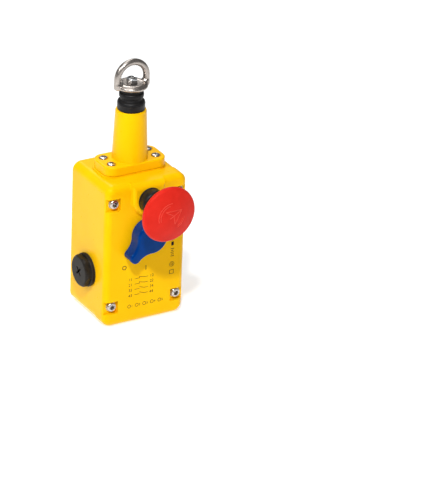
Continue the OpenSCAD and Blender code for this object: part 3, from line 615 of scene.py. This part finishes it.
set_out("lid_screw_set", heads_on_lid_side("lid_screws", 1.9),
        joined(pan_head(3.3, 2.1, "star", shank=9.0, shank_r=1.65),
               moved(flat_washer(3.6, 2.2, WASHER), Matrix.Translation((0, 0, -WASHER)))),
        zinc, "housing", ["lid_screws"], spread=1.2, seed=4)
flange_head = 1.7
foot_z = corners("snout_screws")[1][2] - flange_head
flange_places = [((x, y, foot_z), (0, 0, 1)) for x, y, _ in map(middle, solids_of("snout_screws"))]
set_out("snout_screw_set", flange_places, pan_head(2.9, flange_head, shank=12.0, shank_r=1.2),
        zinc, "housing", ["snout_screws"], spread=0.9, seed=7)
for kind, radius, head, shank, shank_r, seed in (("chassis_screw", 1.9, 1.0, 3.0, 1.15, 3),
                                                 ("terminal_screw", 2.35, 1.2, 2.6, 1.4, 9)):
    set_out(kind + "_set", heads_on_lid_side(kind + "s", head),
            pan_head(radius, head, shank=shank, shank_r=shank_r),
            zinc, "housing", [kind + "s"], spread=0.9, seed=seed)

# ---- Rubber gaiters ----------------------------------------------------------------------------

gaiter_top = eye_low[2] - snout_top  # heights run from the snout's mouth
bore = 5.2
foot = [(bore, 0.02), (9.0, 0.02)] + arc(9.0, 0.4, 0.3, -70, 0, 4) + [(9.3, 4.2), (9.38, 4.35), (9.3, 4.5)]
shoulder = arc(6.9, 4.7, 2.4, 0, 72, 9)[1:]
neck = [(7.45, 7.2), (7.35, 7.6), (7.35, 8.5), (7.6, 8.8)]
ridge = [(8.1, 9.1), (8.3, 9.5), (8.3, 11.4), (8.1, 11.9), (7.6, 12.3), (7.2, 12.6), (7.1, 13.4)]
collar = [(7.3, gaiter_top - 0.9), (8.2, gaiter_top - 0.7), (8.2, gaiter_top - 0.3), (bore, gaiter_top - 0.3),
          (bore, 7.0)]
sleeve = lathe(foot + shoulder + neck + ridge + collar, closed=True)
rope_gaiter = add("rope_gaiter_rubber", moved(sleeve, Matrix.Translation((0, 0, snout_top))), gaiter_rubber,
                  None, ["rope_gaiter"], angle=40)
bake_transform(rope_gaiter)

hub_y = corners("estop_gaiter")[0][1]
reach = seat_y - hub_y  # heights run from the seat towards the button's hub
bulge, bore = 8.75, 7.05
foot = [(bore, 0.0), (bulge - 0.2, 0.0), (bulge, 0.3), (bulge, 1.2)]
groove = [(bulge - 0.25, 1.6), (bulge - 0.25, 2.0), (bulge, 2.4)]
belly = [(bulge, reach * 0.34)] + arc(bulge - 2.2, reach * 0.34, 2.2, 0, 75, 8)
waist = [(7.5, reach * 0.34 + 2.5), (7.4, reach * 0.62)]
ridge = arc(7.6, reach * 0.74, 0.7, -80, 80, 6)
collar = [(7.5, reach - 1.2), (7.9, reach - 0.8), (7.9, reach - 0.1), (bore, reach - 0.1),
          (bore, reach * 0.5)]
sleeve = lathe(foot + groove + belly + waist + ridge + collar, closed=True)
estop_gaiter = add("button_gaiter_rubber", moved(sleeve, facing(seat_y, 0, button_z)), gaiter_rubber, None,
                   ["estop_gaiter"], angle=40)
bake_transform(estop_gaiter)

# ---- Springs -----------------------------------------------------------------------------------

CLOSED = 0.75  # of a turn at each end of a spring, lying against the next


def coil(radius, wire, length, turns):
    """Compression spring from z = 0, of wire of this radius, with closed ends."""
    steps = 40
    path = []
    for i in range(int(turns * steps) + 1):
        turned = i / steps
        rise = min(max((turned - CLOSED) / (turns - 2 * CLOSED), 0), 1)
        if turned < CLOSED:
            end_rise = turned / CLOSED - 1
        else:
            end_rise = max(0, (turned - turns + CLOSED) / CLOSED)
        a = math.tau * turned
        path.append((radius * math.cos(a), radius * math.sin(a),
                     wire + (length - 2 * wire) * rise + wire * 0.5 * end_rise))
    return sweep(path, oval(wire, wire, 12))


spring_low, spring_high = corners("main_spring")
main_spring = add("main_spring_wire", moved(coil(6.3, 1.05, spring_high[2] - spring_low[2] - 1.0, 9),
                  Matrix.Translation((0, 0, spring_low[2] + 0.5))), spring_wire, None,
                  ["main_spring"], angle=60)
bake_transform(main_spring)
coil_low, coil_high = corners("estop_spring")
button_spring = add("button_spring_wire", moved(coil(4.9, 0.58, coil_high[1] - coil_low[1] - 0.6, 6),
                    facing(coil_high[1] - 0.3, 0, button_z)), spring_wire, None,
                    ["estop_spring"], angle=60)
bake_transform(button_spring)

# ---- Mushroom button ---------------------------------------------------------------------------

CAP_BACK = 5.2  # from the widest part of the cap back to its hub
RIM, CROWN = 2.3, 3.2  # radius of the rolled rim, and how far the dome rises over it
rim_y = button_high[1] - CAP_BACK
button_r = (button_high[0] - button_low[0]) / 2
dome_r = ((button_r - RIM) ** 2 + CROWN ** 2) / (2 * CROWN)


def dome_height(radius):
    """Height of the dome over the widest part of the cap."""
    return RIM + CROWN - dome_r + math.sqrt(dome_r ** 2 - radius ** 2)


def raised_line(points):
    """A low round ridge on the dome, through the points."""
    width, rise, sunk, spacing = 0.55, 0.30, 0.1, 0.6
    path = []
    for (x0, y0), (x1, y1) in zip(points, points[1:]):
        steps = max(2, int(math.dist((x0, y0), (x1, y1)) / spacing))
        path += [(x0 + (x1 - x0) * i / steps, y0 + (y1 - y0) * i / steps) for i in range(steps)]
    path.append(points[-1])
    line = [(x, y, dome_height(math.hypot(x, y)) - sunk) for x, y in path]
    return sweep(line, oval(width * 0.5, rise, 8))


twist_lines = [raised_line(points) for points in (
    arc(0, 0, 9.6, 88, 196, 24), arc(0, 0, 8.2, 100, 196, 20), arc(0, 0, 9.4, -64, -8, 14),
    arc(0, 0, 8.2, -60, -16, 12), [(-4.9, 4.3), (7.1, 4.2), (2.1, -5.4)], [(7.1, 4.2), (-1.7, -0.8)],
    [(-4.9, 4.3), (0.6, 1.2)], [(2.1, -5.4), (1.2, 0.2)])]
back = [(0, -CAP_BACK), (7.5, -CAP_BACK), (7.8, -4.9), (9.6, -3.8), (14.3, -2.4),
        (button_r - RIM - 0.1, -RIM)]
dome = [(r, dome_height(r)) for r in (button_r - RIM - 0.8, 14.8, 12.4, 9.0, 6.7, 4.5, 2.2, 0)]
cap = lathe(back + arc(button_r - RIM, 0, RIM, -86, 80, 14) + dome, 128)
on_button = facing(rim_y, 0, button_z)
add("mushroom_button", moved(cap, on_button), red_plastic, "button", ["estop_button"],
    angle=45)
# The twist lines are real raised ridges; their lighter red than the cap is a painted highlight
add("twist_mark_lines", moved(joined(*twist_lines), on_button), painted_highlight_red, "button", angle=60)

# ---- Reset knob --------------------------------------------------------------------------------


def knob_outline(hub, reach_out, tip_w, tip_r, neck):
    """Round hub that runs into a pointer through a hollow on each side. The pointer is drawn down."""
    hollow_x = tip_w / 2 + neck
    hollow_y = -math.sqrt((hub + neck) ** 2 - hollow_x ** 2)
    touch = math.degrees(math.atan2(hollow_y, hollow_x))
    side = arc(0, 0, hub, 90, touch, 30) + arc(hollow_x, hollow_y, neck, 180 + touch, 180 + 0.01, 14)[1:]
    side += arc(tip_w / 2 - tip_r, -reach_out + tip_r, tip_r, 0, -90, 8)
    other_side = [(-x, y) for x, y in reversed(side)]
    outline = []
    for p in side + other_side[:-1]:
        if not outline or math.dist(p, outline[-1]) > 0.05:
            outline.append(p)
    return outline


knob_front, knob_back = (corner[1] for corner in corners("reset_knob"))
rest_turn = -math.radians(joints["knob_turn"]["range_deg"][1])
knob_cap = rolled_slab(knob_outline(hub=11.5, reach_out=21.5, tip_w=8, tip_r=3.4, neck=12),
                       0, knob_back - knob_front, edge=1.7)
add("reset_knob_cap", moved(knob_cap, facing(knob_back, 0, knob_z, rest_turn)), blue_plastic, "knob",
    ["reset_knob"], angle=50)

# ---- Eye nut and lock nut ----------------------------------------------------------------------

BAR, PLATE = 2.3, 3.8  # radius of the bow's bar, and thickness of the plate
ring_r = (eye_high[0] - eye_low[0]) / 2 - BAR
bow_z = eye_high[2] - ring_r - BAR


def forged_eye():
    """Round plate and bow grown together, as forged."""
    disc = lathe([(0, 0), (8.8, 0), (10.1, 0.4), (10.8, 1.2), (10.95, 1.9), (10.5, 2.7), (9.4, 3.35),
                  (8.2, 3.7), (7.3, PLATE), (6.7, PLATE), (6.2, PLATE - 0.2), (0, PLATE - 0.2)])
    height = bow_z - eye_low[2]
    round_the_top = [(x, 0, z) for x, z in arc(0, height, ring_r, 180, 0, 40)]
    bow = sweep([(-ring_r, 0, 2.0), (-ring_r, 0, height * 0.6), *round_the_top,
                 (ring_r, 0, height * 0.6), (ring_r, 0, 2.0)], oval(BAR, BAR, 28), up=(0, 1, 0))
    lug = lathe([(0, -2.0), (2.3, -2.0), (2.75, -1.4), (2.85, -0.6), (2.85, 1.6), (2.6, 2.3), (2.1, 2.7),
                 (0, 2.7)], 40)
    feet = [moved(lug, Matrix.Translation((s * (ring_r - 0.55), 0, 2.1))) for s in (-1, 1)]
    whole = tidy(joined(disc, bow, *feet))
    thing = bpy.data.objects.new("forging", moved(whole, Matrix.Scale(MM, 4)))
    bpy.context.scene.collection.objects.link(thing)
    skin = thing.modifiers.new("skin", "REMESH")
    skin.mode, skin.voxel_size, skin.use_smooth_shade = "VOXEL", 0.3 * MM, True
    ease = thing.modifiers.new("ease", "SMOOTH")
    ease.factor, ease.iterations = 0.5, 12
    flattened(thing)
    mesh = moved(thing.data, Matrix.Scale(1 / MM, 4))
    bpy.data.objects.remove(thing)
    return moved(mesh, Matrix.Translation((0, 0, eye_low[2])))


add("eye_forging", forged_eye(), stainless, "rod", ["eye_nut"], angle=70)

nut_low, nut_high = corners("lock_nut")


def lock_nut():
    """Hexagon nut with eased edges and a collar that holds its insert."""
    height = nut_high[2] - nut_low[2] - 0.55
    across_flats = 7.0
    corner_r = across_flats / 2 / math.cos(math.pi / 6)
    hexagon = oval(corner_r, corner_r, 6)
    block = slab(hexagon, 0, height * 0.78, edge=0.25, segments=2, both=True)
    collar = lathe([(2.1, height * 0.7), (3.25, height * 0.7), (3.25, height - 0.45), (3.0, height - 0.1),
                    (2.75, height), (2.4, height - 0.1), (2.3, height - 0.5), (2.1, height - 0.5)], 48,
                   closed=True)
    hole = lathe([(0, -1), (2.05, -1), (2.05, height + 1), (0, height + 1)], 48)
    return joined(cut(block, hole), collar)


add("lock_nut_hex", moved(lock_nut(), Matrix.Translation((0, 0, nut_low[2]))), bright_zinc, "rod",
    ["lock_nut"], angle=35)
add("nut_insert", moved(lathe([(1.6, 0), (2.35, 0), (2.35, 0.5), (1.6, 0.5)], 40, closed=True),
    Matrix.Translation((0, 0, nut_high[2] - 1.25))), seal_rubber, "rod")

# ---- Threads in the open entries ---------------------------------------------------------------


def female_thread(radius, length, pitch):
    """Helical ridge inside a bore, from z = 0 downwards."""
    steps, depth, root, crest = 64, 0.75, pitch * 0.42, pitch * 0.08
    path = []
    for i in range(int(length / pitch * steps) + 1):
        a = math.tau * i / steps
        path.append((radius * math.cos(a), radius * math.sin(a), -i / steps * pitch))
    return sweep(path, [(-0.05, -root), (-0.05, root), (depth, crest), (depth, -crest)])


bottom_entry, right_entry = frame["record"]["mounts"][:2]
thread = female_thread(bottom_entry["dims"]["r_mm"] + 0.05, bottom_entry["dims"]["length_mm"] - 1.9, 1.5)
entry_z = right_entry["pos_m"][2] / MM
add("bottom_entry_thread", moved(thread, Matrix.Translation((0, 0, 1.0)) @ Matrix.Rotation(math.pi, 4, "X")),
    bare_metal, "housing", angle=30)
add("right_entry_thread", moved(thread, Matrix.Translation((base_high[0] - 1.0, 0, entry_z))
    @ Matrix.Rotation(math.pi / 2, 4, "Y")), bare_metal, "housing", angle=30)

# ---- Printed marks on the lid ------------------------------------------------------------------

INK = 0.03  # thickness of the print
FINE = 0.3  # width of its fine lines


def stroke(points, width=0.45):
    """A printed line through the points."""
    shapes = []
    for (x0, y0), (x1, y1) in zip(points, points[1:]):
        length = math.hypot(x1 - x0, y1 - y0)
        ux, uy = (x1 - x0) / length, (y1 - y0) / length
        px, py, e = -uy * width / 2, ux * width / 2, width / 2
        shapes.append(slab([(x0 - ux * e + px, y0 - uy * e + py), (x0 - ux * e - px, y0 - uy * e - py),
                            (x1 + ux * e - px, y1 + uy * e - py), (x1 + ux * e + px, y1 + uy * e + py)],
                           0, INK))
    return joined(*shapes)


def ring(radius, width):
    """A printed ring."""
    return lathe([(radius - width / 2, 0), (radius + width / 2, 0), (radius + width / 2, INK),
                  (radius - width / 2, INK)], 48, closed=True)


def number(text, height):
    """A printed number, its foot at the origin."""
    curve = bpy.data.curves.new("number", "FONT")
    curve.body, curve.size, curve.extrude = text, height, INK / 2
    thing = bpy.data.objects.new("number", curve)
    bpy.context.scene.collection.objects.link(thing)
    bpy.context.view_layer.update()
    mesh = bpy.data.meshes.new_from_object(thing.evaluated_get(bpy.context.evaluated_depsgraph_get()))
    bpy.data.objects.remove(thing)
    return moved(mesh, Matrix.Translation((0, 0, INK / 2)))


def at(mesh, x, z):
    """The mark, set at a place on the lid's face."""
    return moved(mesh, Matrix.Translation((x, z, 0)))


def contact_sign(closed):
    """Plain contact sign: two leads and a blade, with a stop if it is closed at rest."""
    lines = [[(-5, 0), (-1.5, 0)], [(2.2, 0), (5, 0)], [(-1.2, 0.9 if closed else 1.3), (2.2, 0.0)]]
    if closed:
        lines.append([(-1.5, 0), (-1.5, 1.1)])
    return joined(*(stroke(line, FINE) for line in lines))


window_x, _, window_z = middle(corners("window_lens"))
marks = [at(stroke([(0, -1.4), (0, 1.4)], 0.55), 0.5, 39.2), at(ring(1.35, 0.5), -16.0, 42.3)]
contacts = (("11", "12", True), ("21", "22", True), ("33", "34", False), ("43", "44", False))
for row, (first, second, closed) in enumerate(contacts):
    z = 32.4 - row * 4.0
    marks += [at(number(first, 2.9), -12.4, z - 1.0), at(contact_sign(closed), -2.6, z),
              at(number(second, 2.9), 3.8, z - 1.0)]
for place in range(5):
    x = -11.5 + place * 5.8
    marks += [at(ring(1.15, 0.32), x, 12.4), at(number(str(place + 1), 2.3), x + 1.6, 11.6)]
square = [(-1.5, -1.4), (1.5, -1.4), (1.5, 1.4), (-1.5, 1.4), (-1.5, -1.4)]
signs_x = 20.4
marks += [at(ring(1.7, FINE), signs_x, 37.4), at(ring(0.8, FINE), signs_x, 37.4),
          at(stroke(square, FINE), signs_x, 31.6)]
for side in (-1, 1):
    arrow = [(-side * 0.9, 0), (side * 0.9, -1.1), (side * 0.9, 1.1)]
    marks.append(at(slab(arrow[::side], 0, INK), window_x + side * 4.4, window_z))
marks.append(at(slab([(-0.95, -1.4), (0.95, -1.4), (0.95, 1.4), (-0.95, 1.4)], 0, INK), window_x, 52.7))
for step, half in enumerate((1.1, 0.7, 1.1, 0.7, 1.1)):
    marks.append(at(stroke([(-half, 0), (half, 0)]), window_x, 48.9 - step * 1.35))
add("lid_print", moved(joined(*marks), facing(face_y - 0.005)), ink, "housing", angle=20)

# ---- Finishes of the CAD parts that stay -------------------------------------------------------

for node, material in STAYING.items():
    for place in frame["nodes"][node].material_slots:
        place.material = material

# ---- Studio ------------------------------------------------------------------------------------


def studio_floor():
    """Plain white floor just under the switch, with a little light of its own to keep shadows faint."""
    material, tree, shader = graph("studio_floor")
    vector = coordinates(tree)
    tree.links.new(two_tone(tree, grain(tree, vector, 60), (0.70, 0.70, 0.70), (0.72, 0.72, 0.72)),
                   shader.inputs["Base Color"])
    shader.inputs["Roughness"].default_value = 0.6
    shader.inputs["Emission Color"].default_value = (1, 1, 1, 1)
    shader.inputs["Emission Strength"].default_value = 0.5
    half, gap = 4.0, 0.0006
    mesh = mesh_from([(-half, -half, 0), (half, -half, 0), (half, half, 0), (-half, half, 0)], [(0, 1, 2, 3)])
    mesh.materials.append(material)
    floor = bpy.data.objects.new("studio_floor", mesh)
    bpy.context.scene.collection.objects.link(floor)
    floor.location.z = -gap


def soft_light(name, place, target, size, power):
    """Square white lamp that looks from its place at the target."""
    data = bpy.data.lights.new(name, "AREA")
    data.shape, data.size, data.energy = "SQUARE", size, power
    lamp = bpy.data.objects.new(name, data)
    bpy.context.scene.collection.objects.link(lamp)
    lamp.location = place
    lamp.rotation_euler = (Vector(target) - Vector(place)).to_track_quat("-Z", "Y").to_euler()


studio_floor()
world = bpy.data.worlds.new("studio")
world.use_nodes = True
world.node_tree.nodes["Background"].inputs["Color"].default_value = (1, 1, 1, 1)
world.node_tree.nodes["Background"].inputs["Strength"].default_value = 0.17
bpy.context.scene.world = world
aim_point = (0, 0, 0.08)
soft_light("key", (-0.50, -0.76, 1.14), aim_point, 0.09, 13.8)
soft_light("side", (-0.98, -0.22, 0.98), aim_point, 0.22, 4.9)
soft_light("above", (-0.2, 0.3, 1.3), aim_point, 0.8, 3.6)
soft_light("backdrop", (0.7, 1.9, 1.9), (0.55, 1.2, 0), 0.9, 14)
bpy.context.scene.view_settings.view_transform = "Standard"


def set_camera(turn, tilt, lean, distance, side, drop, focal):
    """Camera turned to the left, tilted down and leaning. Side and drop place the switch in the view."""
    turn, tilt, lean = (math.radians(a) for a in (turn, tilt, lean))
    forward = Vector((math.cos(tilt) * math.sin(turn), math.cos(tilt) * math.cos(turn), -math.sin(tilt)))
    level = Vector((math.cos(turn), -math.sin(turn), 0))
    down = forward.cross(level)
    right = level * math.cos(lean) + down * math.sin(lean)
    down = down * math.cos(lean) - level * math.sin(lean)
    eye_point = Vector((0, 0, 80)) + right * side + down * drop - forward * distance
    data = bpy.data.cameras.new("camera")
    data.sensor_width, data.lens = 36, focal
    data.clip_start, data.clip_end = 0.05, 50
    camera = bpy.data.objects.new("camera", data)
    bpy.context.scene.collection.objects.link(camera)
    turn_matrix = Matrix((right, -down, -forward)).transposed().to_4x4()
    camera.matrix_world = Matrix.Translation(eye_point * MM) @ turn_matrix
    bpy.context.scene.camera = camera


set_camera(turn=31.366, tilt=26.467, lean=-2.453, distance=2138.6, side=55.19, drop=35.09, focal=230.4)
